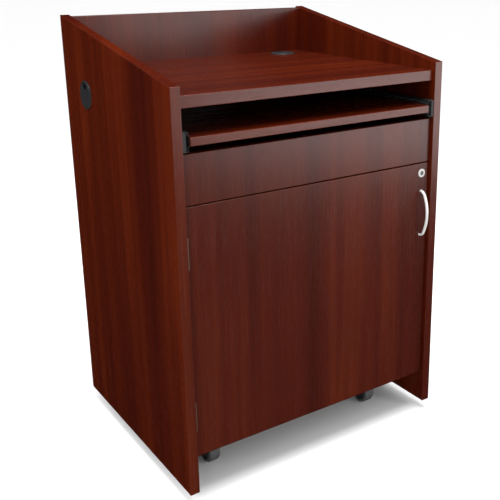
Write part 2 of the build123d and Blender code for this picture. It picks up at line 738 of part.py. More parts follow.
def grommet_cap(place, outward, turn):
    """Turning cap with a skirt and one cable notch."""
    top = grommet_flange_height
    disc = Pos(0, 0, top - cap_thickness / 2) * Cylinder(cap_radius, cap_thickness)
    disc = fillet(disc.edges().group_by(Axis.Z)[-1], cap_round)
    skirt_radius = grommet_hole_radius - fit_gap - grommet_wall - cap_gap
    skirt = Pos(0, 0, top - cap_thickness - cap_skirt / 2) * Cylinder(skirt_radius, cap_skirt)
    skirt -= Pos(0, 0, top - cap_thickness - cap_skirt / 2) * Cylinder(skirt_radius - grommet_wall, cap_skirt)
    depth = cap_thickness + cap_skirt
    inner_end = Pos(0, notch_inner + notch_width / 2, top - depth / 2) * Cylinder(notch_width / 2, depth)
    slot = block(-notch_width / 2, notch_width / 2, notch_inner + notch_width / 2, grommet_flange_radius,
                 top - depth, top)
    return grommet_frame(place, outward) * (Rot(0, 0, turn) * (disc + skirt - inner_end - slot))


# ---------------------------------------------------------------- casters
def caster_plate(place):
    """Top plate with the upper race and the king pin."""
    x, y = place
    under = caster_height - plate_thickness
    plate = block(x - plate_width / 2, x + plate_width / 2, y - plate_length / 2, y + plate_length / 2,
                  under, caster_height)
    plate = fillet(plate.edges().filter_by(Axis.Z), plate_corner)
    race = rod_z(race_radius, under - race_height, under, x, y)
    race = fillet(race.edges().group_by(Axis.Z)[0], race_round)
    head_top = crown_height - race_gap
    pin = rod_z(king_pin_radius, head_top, under - race_height, x, y)
    head = rod_z(king_pin_radius + king_pin_lip, head_top - king_pin_head, head_top, x, y)
    holes = [rod_z(lag_radius + lag_gap, under, caster_height, hx, hy) for hx, hy in lag_places(place)]
    return cut_all(plate + race + pin + head, holes)


def caster_fork(place):
    """Fork: crown with the lower race, and two legs down to the axle."""
    x, y = place
    crown_top = crown_height + fork_crown
    race_top = crown_top + fork_race
    axle_y = y + caster_trail
    outline = Polyline((y - fork_front, crown_top), (y + fork_back, crown_top),
                       (axle_y + fork_foot + fork_heel, crown_height - fork_slope),
                       (axle_y + fork_foot, wheel_radius), (axle_y - fork_foot, wheel_radius),
                       (y - fork_front, crown_height - fork_web), close=True)
    profile = make_face(outline) + Pos(axle_y, wheel_radius) * Circle(fork_foot)
    fork = rod_z(race_radius - fork_race_inset, crown_height, race_top, x, y)
    fork += block(x - leg_outer, x + leg_outer, y - fork_front, y + fork_back, crown_height, crown_top)
    for side in (-1, 1):
        start = min(x + side * leg_inner, x + side * leg_outer)
        leg = Plane(origin=(start, 0, 0), x_dir=(0, 1, 0), z_dir=(1, 0, 0))
        fork += extrude(leg * profile, fork_thickness)
    cuts = [rod_z(king_pin_radius + fit_gap, crown_height, race_top, x, y),
            rod_x(axle_radius + fit_gap, x - leg_outer, x + leg_outer, axle_y, wheel_radius)]
    if y < 0:
        pivot_y, pivot_z = pedal_pivot(place)
        cuts.append(rod_x(pedal_pivot_radius + fit_gap, x - leg_outer, x + leg_outer, pivot_y, pivot_z))
    return cut_all(fork, cuts)


def caster_wheel(place):
    """Rubber-tyred wheel with dished sides and a hub."""
    x, y = place
    axle_y = y + caster_trail
    tyre = rod_x(wheel_radius, x - wheel_tread / 2, x + wheel_tread / 2, axle_y, wheel_radius)
    tyre = fillet(tyre.edges(), tread_radius)
    for side in (-1, 1):
        dish_start = x + side * (wheel_tread / 2 - wheel_dish)
        dish_end = x + side * wheel_hub / 2
        tyre -= rod_x(wheel_radius - wheel_rim, dish_start, dish_end, axle_y, wheel_radius)
    tyre += rod_x(hub_radius, x - wheel_hub / 2, x + wheel_hub / 2, axle_y, wheel_radius)
    return tyre - rod_x(axle_radius + fit_gap, x - wheel_hub / 2, x + wheel_hub / 2, axle_y, wheel_radius)


def caster_axle(place):
    """Axle bolt and its nut."""
    x, y = place
    axle_y = y + caster_trail
    shaft = rod_x(axle_radius, x - leg_outer, x + leg_outer + axle_end, axle_y, wheel_radius)
    head_plane = Plane(origin=(x - leg_outer - axle_head_height, axle_y, wheel_radius),
                       x_dir=(0, 1, 0), z_dir=(1, 0, 0))
    head = extrude(head_plane * RegularPolygon(axle_head_radius, 6), axle_head_height)
    nut_plane = Plane(origin=(x + leg_outer, axle_y, wheel_radius), x_dir=(0, 1, 0), z_dir=(1, 0, 0))
    nut = extrude(nut_plane * RegularPolygon(axle_head_radius, 6), axle_head_height)
    nut -= rod_x(axle_radius + fit_gap, x + leg_outer, x + leg_outer + axle_head_height, axle_y, wheel_radius)
    return group([shaft + head, nut])


def pedal_pivot(place):
    """Depth and height of the brake pedal's pivot."""
    return place[1] + caster_trail + pedal_pivot_back, crown_height - pedal_pivot_drop


def brake_pedal(place):
    """Foot pedal with trunnions in the fork's legs and a pad just over the tyre."""
    x = place[0]
    left = x - pedal_width / 2
    right = x + pedal_width / 2
    pivot_y, pivot_z = pedal_pivot(place)
    end_y = pivot_y + pedal_length
    trunnion = rod_x(pedal_pivot_radius, x - leg_outer, x + leg_outer, pivot_y, pivot_z)
    sleeve = rod_x(pedal_pivot_radius + pedal_sleeve, left, right, pivot_y, pivot_z)
    plate = block(left, right, pivot_y, end_y, pivot_z - pedal_thickness / 2, pivot_z + pedal_thickness / 2)
    lip = block(left, right, end_y - pedal_thickness, end_y, pivot_z - pedal_lip, pivot_z)
    tread_z = wheel_radius + sqrt(wheel_radius ** 2 - (pedal_pivot_back + pad_start) ** 2)
    pad = block(left + pad_inset, right - pad_inset, pivot_y + pad_start, pivot_y + pad_start + pad_length,
                tread_z + pad_gap, pivot_z)
    return trunnion + sleeve + plate + lip + pad


def caster_screws():
    """Hexagon-headed screws that hold the four casters."""
    screws = []
    under = caster_height - plate_thickness
    for place in caster_places.values():
        for x, y in lag_places(place):
            shank = rod_z(lag_radius, under, caster_height + lag_depth, x, y)
            head = extrude(Pos(x, y, under - lag_head_height) * RegularPolygon(lag_head, 6), lag_head_height)
            screws.append(shank + head)
    return group(screws)


# ---------------------------------------------------------------- every node
nodes = {
    "left_side_panel": side_panel(-1),
    "right_side_panel": side_panel(1),
    "back_panel": back_panel(),
    "worktop": worktop(),
    "bottom_panel": bottom_panel(),
    "front_apron": front_apron(),
    "panel_connectors": panel_connectors(),
    "adjustable_shelf": adjustable_shelf(),
    "shelf_pins": shelf_pins(),
    "door": door(),
    "door_handle": door_handle(),
    "handle_screws": handle_screws(),
    "lock_barrel": lock_barrel(),
    "lock_nut": lock_nut(),
    "lock_plug": lock_plug(),
    "lock_cam": lock_cam(),
    "cam_screw": cam_screw(),
    "hinge_pins": hinge_pins(),
    "hinge_panel_screws": hinge_screws(-1),
    "hinge_door_screws": hinge_screws(1),
    "keyboard_tray": keyboard_tray(),
    "worktop_grommet_liner": grommet_liner(worktop_grommet, "+z"),
    "worktop_grommet_cap": grommet_cap(worktop_grommet, "+z", worktop_cap_turn),
    "side_grommet_liner": grommet_liner(side_grommet, "-x"),
    "side_grommet_cap": grommet_cap(side_grommet, "-x", side_cap_turn),
    "caster_screws": caster_screws(),
}
for hinge, middle in hinge_heights.items():
    nodes[f"{hinge}_hinge_panel_leaf"] = hinge_leaf(middle, 0)
    nodes[f"{hinge}_hinge_door_leaf"] = hinge_leaf(middle, 1)
for name, side in (("left", -1), ("right", 1)):
    nodes[f"{name}_slide_packer"] = slide_packer(side)
    nodes[f"{name}_slide_cabinet_member"] = slide_cabinet_member(side)
    nodes[f"{name}_slide_middle_member"] = slide_middle_member(side)
    nodes[f"{name}_slide_tray_member"] = slide_tray_member(side)
nodes["slide_screws"] = group([slide_screw(side, y) for side in (-1, 1) for y in slide_screw_places()])
nodes["tray_screws"] = group([tray_screw(side, y) for side in (-1, 1) for y in slide_screw_places()])
for corner, place in caster_places.items():
    nodes[f"{corner}_caster_plate"] = caster_plate(place)
    nodes[f"{corner}_caster_fork"] = caster_fork(place)
    nodes[f"{corner}_caster_wheel"] = caster_wheel(place)
    nodes[f"{corner}_caster_axle"] = caster_axle(place)
    if corner.startswith("front"):
        nodes[f"{corner}_brake_pedal"] = brake_pedal(place)

for node, shape in nodes.items():
    export_step(shape, f"parts/{node}.step")
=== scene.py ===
"""Finishes, fasteners and studio for a wheeled lectern stand."""
from math import pi, radians

import bmesh
import bpy
from bpy.props import FloatProperty, FloatVectorProperty, IntProperty, PointerProperty
from bpy.types import NodeSocket, Operator, Panel, PropertyGroup
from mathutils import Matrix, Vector


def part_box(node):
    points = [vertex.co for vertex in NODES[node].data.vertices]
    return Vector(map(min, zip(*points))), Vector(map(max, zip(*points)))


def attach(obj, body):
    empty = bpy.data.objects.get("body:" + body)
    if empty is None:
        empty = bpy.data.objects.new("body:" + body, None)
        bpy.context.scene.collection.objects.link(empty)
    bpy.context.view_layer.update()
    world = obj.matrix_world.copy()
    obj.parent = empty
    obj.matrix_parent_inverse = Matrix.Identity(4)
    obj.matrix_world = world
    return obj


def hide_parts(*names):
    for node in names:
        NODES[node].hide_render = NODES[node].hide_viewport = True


bl_info = {
    "name": "Lectern Stand",
    "version": (1, 0, 0),
    "blender": (4, 5, 0),
    "location": "View3D > Sidebar > Lectern",
    "description": "Finishes a wheeled lectern stand with laminate, fittings, fasteners and a studio",
    "category": "Object",
}

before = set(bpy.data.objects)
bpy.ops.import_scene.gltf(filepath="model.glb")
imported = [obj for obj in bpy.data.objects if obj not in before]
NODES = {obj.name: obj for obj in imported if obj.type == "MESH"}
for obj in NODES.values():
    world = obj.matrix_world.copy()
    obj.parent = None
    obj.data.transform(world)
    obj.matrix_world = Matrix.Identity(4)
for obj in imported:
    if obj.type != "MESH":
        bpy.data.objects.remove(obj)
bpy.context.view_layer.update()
CORNERS = ("front_left", "front_right", "rear_left", "rear_right")
HINGE_SCREW = {"Top_Radius": 0.0029, "Neck_Radius": 0.0017, "Head_Height": 0.001, "Shank_Radius": 0.0017,
               "Shank_Length": 0.015}
RUBBED_COAT = (0.075, 0.075, 0.078, 1.0)       # black coat worn thin on its edges
CORE_INNER, CORE_OUTER = 0.0278, 0.0284        # radii over which a wheel's core gives way to its tyre
TREAD_INNER, TREAD_OUTER = 0.0374, 0.0380      # radii over which the tread's dust begins
FLOOR_HALF = 60.0                              # half of the floor's side, m


# ---------------------------------------------------------------- sizes and colours
class LaminateSettings(PropertyGroup):
    """Colours and scale of the wood-grain laminate."""

    deep: FloatVectorProperty(name="Deep Grain", description="Darkest streaks", subtype="COLOR", size=3,
                              default=(0.027, 0.0028, 0.0010))
    dark: FloatVectorProperty(name="Dark Ground", description="Main dark tone", subtype="COLOR", size=3,
                              default=(0.040, 0.0037, 0.0009))
    middle: FloatVectorProperty(name="Middle Tone", description="Red-brown between the streaks",
                                subtype="COLOR", size=3, default=(0.052, 0.0052, 0.0009))
    bright: FloatVectorProperty(name="Bright Streak", description="Orange-brown streaks", subtype="COLOR",
                                size=3, default=(0.073, 0.0082, 0.0010))
    worn: FloatVectorProperty(name="Rubbed Edge", description="Tone of rubbed edges", subtype="COLOR",
                              size=3, default=(0.105, 0.026, 0.016))
    stretch: FloatProperty(name="Grain Stretch", description="Pattern's squeeze along the grain",
                           default=0.022, min=0.005, max=1.0)
    stripe_scale: FloatProperty(name="Stripe Scale", description="Broad stripes per metre", default=13.0)
    band_scale: FloatProperty(name="Band Scale", description="Narrow bands per metre", default=40.0)
    fine_scale: FloatProperty(name="Fine Scale", description="Fine grain lines per metre", default=340.0)
    pore_scale: FloatProperty(name="Pore Scale", description="Pores per metre", default=1500.0)
    gloss: FloatProperty(name="Surface Reflection", description="Strength of the surface's reflection",
                         default=0.35, min=0.0, max=1.0)


class FittingSettings(PropertyGroup):
    """Colours of the metal, plastic and rubber fittings."""

    nickel: FloatVectorProperty(name="Satin Nickel", description="Handle", subtype="COLOR", size=3,
                                default=(0.72, 0.71, 0.69))
    lock: FloatVectorProperty(name="Lock Nickel", description="Face and barrel of the lock", subtype="COLOR",
                              size=3, default=(0.46, 0.45, 0.44))
    # painted shade: the plug's dark grey stands in for the shaded keyway at the lock's centre
    plug: FloatVectorProperty(name="Lock Plug", description="Turning plug of the lock", subtype="COLOR",
                              size=3, default=(0.11, 0.11, 0.11))
    zinc: FloatVectorProperty(name="Zinc Plate", description="Screws, cam and casters",
                              subtype="COLOR", size=3, default=(0.56, 0.58, 0.60))
    hinge: FloatVectorProperty(name="Dark Bronze", description="Hinges", subtype="COLOR", size=3,
                               default=(0.16, 0.115, 0.085))
    black: FloatVectorProperty(name="Black Coat", description="Slide members and pedals",
                               subtype="COLOR", size=3, default=(0.014, 0.014, 0.015))
    plastic: FloatVectorProperty(name="Black Plastic", description="Slide packers", subtype="COLOR",
                                 size=3, default=(0.022, 0.022, 0.023))
    grommet: FloatVectorProperty(name="Grommet Plastic", description="Cable grommets", subtype="COLOR",
                                 size=3, default=(0.016, 0.016, 0.018))
    tyre: FloatVectorProperty(name="Tyre Rubber", description="Caster tyres", subtype="COLOR", size=3,
                              default=(0.072, 0.075, 0.075))
    wheel_core: FloatVectorProperty(name="Wheel Core", description="Hub and side discs of the wheels",
                                    subtype="COLOR", size=3, default=(0.030, 0.031, 0.033))


class FastenerSettings(PropertyGroup):
    """Sizes of the screws and the slide balls."""

    recess_width: FloatProperty(name="Recess Width", description="Width of a cross recess's arm",
                                subtype="DISTANCE", unit="LENGTH", default=0.0011)
    recess_share: FloatProperty(name="Recess Length", description="Recess length over head diameter",
                                default=0.58, min=0.1, max=0.9)
    recess_depth: FloatProperty(name="Recess Depth", description="Depth of a cross recess",
                                subtype="DISTANCE", unit="LENGTH", default=0.0009)
    sides: IntProperty(name="Round Sides", description="Sides of a round head", default=32, min=8, max=64)
    balls: IntProperty(name="Balls In A Row", description="Balls in each row of a slide", default=15,
                       min=2, max=40)
    ball_pitch: FloatProperty(name="Ball Pitch", description="Distance between balls", subtype="DISTANCE",
                              unit="LENGTH", default=0.0095)
    row_inset: FloatProperty(name="Row Inset", description="Middle member's end to its first ball",
                             subtype="DISTANCE", unit="LENGTH", default=0.014)
    slide_metal: FloatProperty(name="Slide Metal", description="Sheet thickness of a slide's flanges",
                               subtype="DISTANCE", unit="LENGTH", default=0.0012)
    ball_play: FloatProperty(name="Ball Play", description="Space between a ball and the members",
                             subtype="DISTANCE", unit="LENGTH", default=0.0001)


class StudioSettings(PropertyGroup):
    """Floor, lights and camera."""

    floor: FloatVectorProperty(name="Floor", description="Floor colour", subtype="COLOR", size=3,
                               default=(0.86, 0.86, 0.86))
    ambient: FloatProperty(name="Ambient", description="Brightness of the surroundings", default=1.2)
    lens: FloatProperty(name="Lens", description="Focal length", subtype="DISTANCE_CAMERA", default=57.939)
    turn: FloatProperty(name="Camera Turn", description="Camera's turn about the vertical",
                        subtype="ANGLE", unit="ROTATION", default=radians(-35.763))
    tilt: FloatProperty(name="Camera Tilt", description="How far the camera looks down",
                        subtype="ANGLE", unit="ROTATION", default=radians(16.54))
    sideways: FloatProperty(name="Frame Shift X", description="Lens shift to the side", default=-0.1408)
    upwards: FloatProperty(name="Frame Shift Y", description="Lens shift upwards", default=-0.10)
    place: FloatVectorProperty(name="Camera Place", description="Where the camera stands",
                               subtype="TRANSLATION", unit="LENGTH", size=3,
                               default=(-1.1363, -1.8939, 1.3058))


# ---------------------------------------------------------------- node helpers
def add(tree, kind, inputs=None, **settings):
    """A new node with its settings, and its inputs set or linked."""
    made = tree.nodes.new(kind)
    for key, value in settings.items():
        setattr(made, key, value)
    for key, value in (inputs or {}).items():
        if isinstance(value, NodeSocket):
            tree.links.new(value, made.inputs[key])
        else:
            made.inputs[key].default_value = value
    return made


def math(tree, operation, first, second=0.0, clamp=False):
    """Result of a maths node."""
    return add(tree, "ShaderNodeMath", {0: first, 1: second}, operation=operation,
               use_clamp=clamp).outputs[0]


def spread(tree, value, low, high, to_low=0.0, to_high=1.0):
    """The value's range low to high spread over to_low to to_high."""
    inputs = {"Value": value, "From Min": low, "From Max": high, "To Min": to_low, "To Max": to_high}
    return add(tree, "ShaderNodeMapRange", inputs, clamp=True).outputs[0]


def mixed(tree, factor, first, second, mode="MIX"):
    """Two colours mixed."""
    return add(tree, "ShaderNodeMix", {0: factor, 6: first, 7: second}, data_type="RGBA",
               blend_type=mode).outputs[2]


def noise(tree, vector, scale, detail=2.0, roughness=0.5):
    """Noise factor on a vector."""
    inputs = {"Vector": vector, "Scale": scale, "Detail": detail, "Roughness": roughness}
    return add(tree, "ShaderNodeTexNoise", inputs).outputs[0]


def ramp(tree, factor, stops):
    """Colour ramp through (position, colour) stops."""
    made = add(tree, "ShaderNodeValToRGB", {0: factor})
    elements = made.color_ramp.elements
    while len(elements) < len(stops):
        elements.new(1.0)
    for element, (position, colour) in zip(elements, stops):
        element.position = position
        element.color = (*colour, 1.0)
    return made.outputs[0]


def opaque(colour):
    """The colour with full alpha."""
    return (colour[0], colour[1], colour[2], 1.0)


def scaled(colour, share):
    """The colour made darker or lighter."""
    return (colour[0] * share, colour[1] * share, colour[2] * share, 1.0)


def placed(tree, offset):
    """Object coordinates moved by an offset, and the object's normal."""
    source = add(tree, "ShaderNodeTexCoord")
    moved = add(tree, "ShaderNodeMapping", {"Vector": source.outputs["Object"], "Location": offset})
    return moved.outputs[0], source.outputs["Normal"]


def squeezed(tree, vector, run, share):
    """The vector squeezed along the run, so that a pattern is drawn out that way."""
    factors = [share if axis == run else 1.0 for axis in "xyz"]
    return add(tree, "ShaderNodeVectorMath", {0: vector, 1: factors}, operation="MULTIPLY").outputs[0]


def rounded_edges(tree, normal):
    """1 on the rounded edges of a square-cut piece, 0 on its flat faces."""
    size = add(tree, "ShaderNodeVectorMath", {0: normal}, operation="ABSOLUTE").outputs[0]
    parts = add(tree, "ShaderNodeSeparateXYZ", {0: size}).outputs
    largest = math(tree, "MAXIMUM", math(tree, "MAXIMUM", parts[0], parts[1]), parts[2])
    return spread(tree, largest, 0.90, 0.975, 1.0, 0.0)


def blank(name):
    """A new material's node tree and its shader."""
    material = bpy.data.materials.new(name)
    material.use_nodes = True
    tree = material.node_tree
    tree.nodes.clear()
    shader = add(tree, "ShaderNodeBsdfPrincipled")
    add(tree, "ShaderNodeOutputMaterial", {"Surface": shader.outputs[0]})
    return material, tree, shader


def join(tree, shader, **sockets):
    """Links or sets the shader's sockets; underscores stand for spaces."""
    for key, value in sockets.items():
        socket = shader.inputs[key.replace("_", " ")]
        if isinstance(value, NodeSocket):
            tree.links.new(value, socket)
        else:
            socket.default_value = value


def bumped(tree, height, strength, distance):
    """Normal from a height."""
    inputs = {"Height": height, "Strength": strength, "Distance": distance}
    return add(tree, "ShaderNodeBump", inputs).outputs[0]


# ---------------------------------------------------------------- finishes
def laminate(name, run, edge_run, offset):
    """Satin wood-grain laminate; level edges carry banding whose grain follows edge_run."""
    look = bpy.context.scene.lectern_laminate
    material, tree, shader = blank(name)
    place, normal = placed(tree, offset)
    grain = squeezed(tree, place, run, look.stretch)
    if edge_run != run:
        height = add(tree, "ShaderNodeSeparateXYZ", {0: normal}).outputs[2]
        level = spread(tree, math(tree, "ABSOLUTE", height), 0.6, 0.8)
        banding = squeezed(tree, place, edge_run, look.stretch)
        grain = add(tree, "ShaderNodeMix", {0: level, 4: grain, 5: banding}, data_type="VECTOR").outputs[1]
    stripes = noise(tree, grain, look.stripe_scale, 1.5, 0.45)
    bands = noise(tree, grain, look.band_scale, 2.5, 0.55)
    fine = noise(tree, grain, look.fine_scale, 3.0, 0.6)
    pores = spread(tree, noise(tree, grain, look.pore_scale, 1.0), 0.60, 0.72)
    broad = math(tree, "ADD", math(tree, "MULTIPLY", stripes, 0.58), math(tree, "MULTIPLY", bands, 0.32))
    tone = math(tree, "ADD", broad, math(tree, "MULTIPLY", fine, 0.10))
    colour = ramp(tree, spread(tree, tone, 0.32, 0.68),
                  ((0.0, look.deep), (0.34, look.dark), (0.56, look.middle), (0.80, look.bright),
                   (1.0, look.middle)))
    drift = noise(tree, place, 2.3, 1.0)
    colour = mixed(tree, spread(tree, drift, 0.35, 0.65, 0.0, 0.35), colour, opaque(look.dark))
    colour = mixed(tree, math(tree, "MULTIPLY", pores, 0.40), colour, opaque(look.deep))
    rub = math(tree, "MULTIPLY", rounded_edges(tree, normal), spread(tree, bands, 0.35, 0.65, 0.10, 0.40))
    colour = mixed(tree, rub, colour, opaque(look.worn))
    rough = math(tree, "ADD", spread(tree, fine, 0.3, 0.7, 0.21, 0.29), math(tree, "MULTIPLY", pores, 0.12))
    relief = math(tree, "SUBTRACT", math(tree, "MULTIPLY", fine, 0.4), pores)
    join(tree, shader, Base_Color=colour, Roughness=rough, Specular_IOR_Level=look.gloss,
         Normal=bumped(tree, relief, 0.12, 0.0003))
    return material


def brushed_metal(name, colour, run, rough, metal):
    """Plated metal with fine brush marks along the run and faint handling marks."""
    material, tree, shader = blank(name)
    place, _ = placed(tree, (0.31, 0.17, 0.05))
    marks = noise(tree, squeezed(tree, place, run, 0.03), 5200.0, 2.0, 0.6)
    smudge = noise(tree, place, 60.0, 3.0)
    tint = mixed(tree, spread(tree, marks, 0.3, 0.7), scaled(colour, 0.90), scaled(colour, 1.05))
    roughness = math(tree, "ADD", spread(tree, marks, 0.3, 0.7, rough - 0.05, rough + 0.06),
                     spread(tree, smudge, 0.5, 0.75, 0.0, 0.08))
    join(tree, shader, Base_Color=tint, Metallic=metal, Roughness=roughness,
         Normal=bumped(tree, marks, 0.10, 0.00005))
    return material


def plated_steel(name, colour, rough):
    """Zinc or bronze plate with a faint cloudy crystal pattern."""
    material, tree, shader = blank(name)
    place, normal = placed(tree, (0.07, 0.23, 0.11))
    cells = add(tree, "ShaderNodeTexVoronoi", {"Vector": place, "Scale": 420.0}).outputs["Color"]
    crystals = add(tree, "ShaderNodeRGBToBW", {0: cells}).outputs[0]
    cloud = noise(tree, place, 90.0, 4.0, 0.6)
    tint = mixed(tree, crystals, scaled(colour, 0.86), scaled(colour, 1.06))
    tint = mixed(tree, spread(tree, cloud, 0.55, 0.8, 0.0, 0.4), tint, scaled(colour, 0.55))
    tint = mixed(tree, math(tree, "MULTIPLY", rounded_edges(tree, normal), 0.3), tint, scaled(colour, 1.25))
    roughness = math(tree, "ADD", spread(tree, crystals, 0.0, 1.0, rough - 0.06, rough + 0.06),
                     spread(tree, cloud, 0.5, 0.8, 0.0, 0.12))
    join(tree, shader, Base_Color=tint, Metallic=0.7, Roughness=roughness,
         Normal=bumped(tree, cloud, 0.08, 0.0001))
    return material


def coated_steel(name, colour):
    """Black electro-coat with an orange-peel skin, thin on the edges."""
    material, tree, shader = blank(name)
    place, normal = placed(tree, (0.12, 0.04, 0.21))
    peel = noise(tree, place, 1400.0, 2.0)
    dust = noise(tree, place, 120.0, 4.0, 0.65)
    tint = mixed(tree, spread(tree, dust, 0.45, 0.8, 0.0, 0.5), opaque(colour), scaled(colour, 2.4))
    rub = math(tree, "MULTIPLY", rounded_edges(tree, normal), spread(tree, dust, 0.4, 0.6, 0.1, 0.6))
    tint = mixed(tree, rub, tint, RUBBED_COAT)
    join(tree, shader, Base_Color=tint, Roughness=spread(tree, dust, 0.3, 0.8, 0.32, 0.55),
         Specular_IOR_Level=0.22, Normal=bumped(tree, peel, 0.15, 0.0001))
    return material


def moulded_plastic(name, colour, rough, grain_scale, gloss):
    """Moulded plastic with a fine grained skin and faint handling marks."""
    material, tree, shader = blank(name)
    place, normal = placed(tree, (0.02, 0.33, 0.19))
    skin = noise(tree, place, grain_scale, 2.0, 0.55)
    marks = noise(tree, place, 75.0, 4.0, 0.6)
    tint = mixed(tree, spread(tree, skin, 0.35, 0.65), scaled(colour, 0.82), scaled(colour, 1.15))
    tint = mixed(tree, spread(tree, marks, 0.5, 0.8, 0.0, 0.4), tint, scaled(colour, 1.9))
    tint = mixed(tree, math(tree, "MULTIPLY", rounded_edges(tree, normal), 0.25), tint, scaled(colour, 2.2))
    join(tree, shader, Base_Color=tint, Roughness=spread(tree, marks, 0.3, 0.8, rough - 0.05, rough + 0.12),
         Specular_IOR_Level=gloss, Normal=bumped(tree, skin, 0.2, 0.00012))
    return material


def wheel_finish(name, centre):
    """Rubber tyre round a moulded core, with mould rings about the axle and scuffs on the tread."""
    look = bpy.context.scene.lectern_fittings
    material, tree, shader = blank(name)
    place, _ = placed(tree, [-value for value in centre])
    flat = add(tree, "ShaderNodeVectorMath", {0: place, 1: (0.0, 1.0, 1.0)}, operation="MULTIPLY").outputs[0]
    radius = add(tree, "ShaderNodeVectorMath", {0: flat}, operation="LENGTH").outputs["Value"]
    core = spread(tree, radius, CORE_INNER, CORE_OUTER, 1.0, 0.0)
    scuff = noise(tree, place, 160.0, 4.0, 0.65)
    skin = noise(tree, place, 2600.0, 2.0)
    tyre = mixed(tree, spread(tree, scuff, 0.35, 0.7), scaled(look.tyre, 0.80), scaled(look.tyre, 1.30))
    hub = mixed(tree, spread(tree, skin, 0.3, 0.7), scaled(look.wheel_core, 0.85),
                scaled(look.wheel_core, 1.3))
    tread = spread(tree, radius, TREAD_INNER, TREAD_OUTER)
    dust = math(tree, "MULTIPLY", tread, spread(tree, scuff, 0.45, 0.7, 0.0, 0.35))
    colour = mixed(tree, dust, mixed(tree, core, tyre, hub), scaled(look.tyre, 1.9))
    waves = math(tree, "MULTIPLY", radius, 5200.0)
    rings = add(tree, "ShaderNodeMath", {0: waves}, operation="SINE").outputs[0]
    relief = math(tree, "ADD", math(tree, "MULTIPLY", rings, 0.25), skin)
    rough = math(tree, "SUBTRACT", spread(tree, scuff, 0.3, 0.8, 0.62, 0.85),
                 math(tree, "MULTIPLY", core, 0.22))
    join(tree, shader, Base_Color=colour, Roughness=rough, Specular_IOR_Level=0.4,
         Normal=bumped(tree, relief, 0.2, 0.00012))
    return material


def dress(material, *nodes):
    """Gives CAD nodes a material."""
    for node in nodes:
        for slot in NODES[node].material_slots:
            slot.material = material


# ---------------------------------------------------------------- fasteners
def islands(node):
    """(lowest, highest) corner of each separate solid in a CAD node."""
    work = bmesh.new()
    work.from_mesh(NODES[node].data)
    bmesh.ops.remove_doubles(work, verts=work.verts, dist=1e-6)
    left = set(work.verts)
    found = []
    while left:
        reach = [left.pop()]
        group = []
        while reach:
            vert = reach.pop()
            group.append(vert.co.copy())
            for edge in vert.link_edges:
                other = edge.other_vert(vert)
                if other in left:
                    left.remove(other)
                    reach.append(other)
        low = Vector([min(co[axis] for co in group) for axis in range(3)])
        high = Vector([max(co[axis] for co in group) for axis in range(3)])
        found.append((low, high))
    work.free()
    return sorted(found, key=lambda item: tuple(item[0]))


def named_inputs(tree, sizes):
    """Adds the tree's geometry sockets and one named input for each size."""
    interface = tree.interface
    interface.new_socket("Points", in_out="INPUT", socket_type="NodeSocketGeometry")
    interface.new_socket("Mesh", in_out="OUTPUT", socket_type="NodeSocketGeometry")
    for name, value in sizes.items():
        kind = {bool: "Bool", int: "Int", float: "Float"}[type(value)]
        socket = interface.new_socket(name, in_out="INPUT", socket_type=f"NodeSocket{kind}")
        socket.default_value = value


def lifted(tree, geometry, x=0.0, y=0.0, z=0.0):
    """The geometry moved to a place made of sockets or numbers."""
    place = add(tree, "ShaderNodeCombineXYZ", {0: x, 1: y, 2: z}).outputs[0]
    return add(tree, "GeometryNodeTransform", {"Geometry": geometry, "Translation": place}).outputs[0]


def screw_tree(material, sizes):
    """Geometry nodes: a headed screw on every point, its head towards the point's axis attribute."""
    tree = bpy.data.node_groups.new("driven_screws", "GeometryNodeTree")
    named_inputs(tree, sizes)
    size = add(tree, "NodeGroupInput").outputs
    head = add(tree, "GeometryNodeMeshCone", {
        "Vertices": size["Sides"], "Radius Top": size["Top Radius"], "Radius Bottom": size["Neck Radius"],
        "Depth": size["Head Height"]}).outputs["Mesh"]
    depth = math(tree, "MULTIPLY", size["Recess Depth"], 2.0)
    arms = []
    for x, y in (("Recess Length", "Recess Width"), ("Recess Width", "Recess Length")):
        box = add(tree, "ShaderNodeCombineXYZ", {0: size[x], 1: size[y], 2: depth}).outputs[0]
        arm = add(tree, "GeometryNodeMeshCube", {"Size": box}).outputs["Mesh"]
        arms.append(lifted(tree, arm, z=size["Head Height"]))
    cut = add(tree, "GeometryNodeMeshBoolean", {"Mesh 1": head}, operation="DIFFERENCE", solver="EXACT")
    for arm in arms:
        tree.links.new(arm, cut.inputs["Mesh 2"])
    choice = add(tree, "GeometryNodeSwitch", {"Switch": size["Cross Recess"], "False": head,
                                              "True": cut.outputs["Mesh"]}, input_type="GEOMETRY")
    shank = add(tree, "GeometryNodeMeshCylinder", {
        "Vertices": 20, "Radius": size["Shank Radius"], "Depth": size["Shank Length"]}).outputs["Mesh"]
    middle = math(tree, "MULTIPLY", size["Shank Length"], -0.5)
    whole = add(tree, "GeometryNodeJoinGeometry")
    tree.links.new(choice.outputs[0], whole.inputs[0])
    tree.links.new(lifted(tree, shank, z=middle), whole.inputs[0])
    axis = add(tree, "GeometryNodeInputNamedAttribute", {"Name": "axis"}, data_type="FLOAT_VECTOR").outputs[0]
    turn = add(tree, "FunctionNodeAlignRotationToVector", {"Vector": axis}, axis="Z").outputs[0]
    spots = add(tree, "GeometryNodeInstanceOnPoints", {
        "Points": size["Points"], "Instance": whole.outputs[0], "Rotation": turn}).outputs[0]
    real = add(tree, "GeometryNodeRealizeInstances", {0: spots}).outputs[0]
    done = add(tree, "GeometryNodeSetMaterial", {"Geometry": real, "Material": material}).outputs[0]
    add(tree, "NodeGroupOutput", {0: done})
    return tree


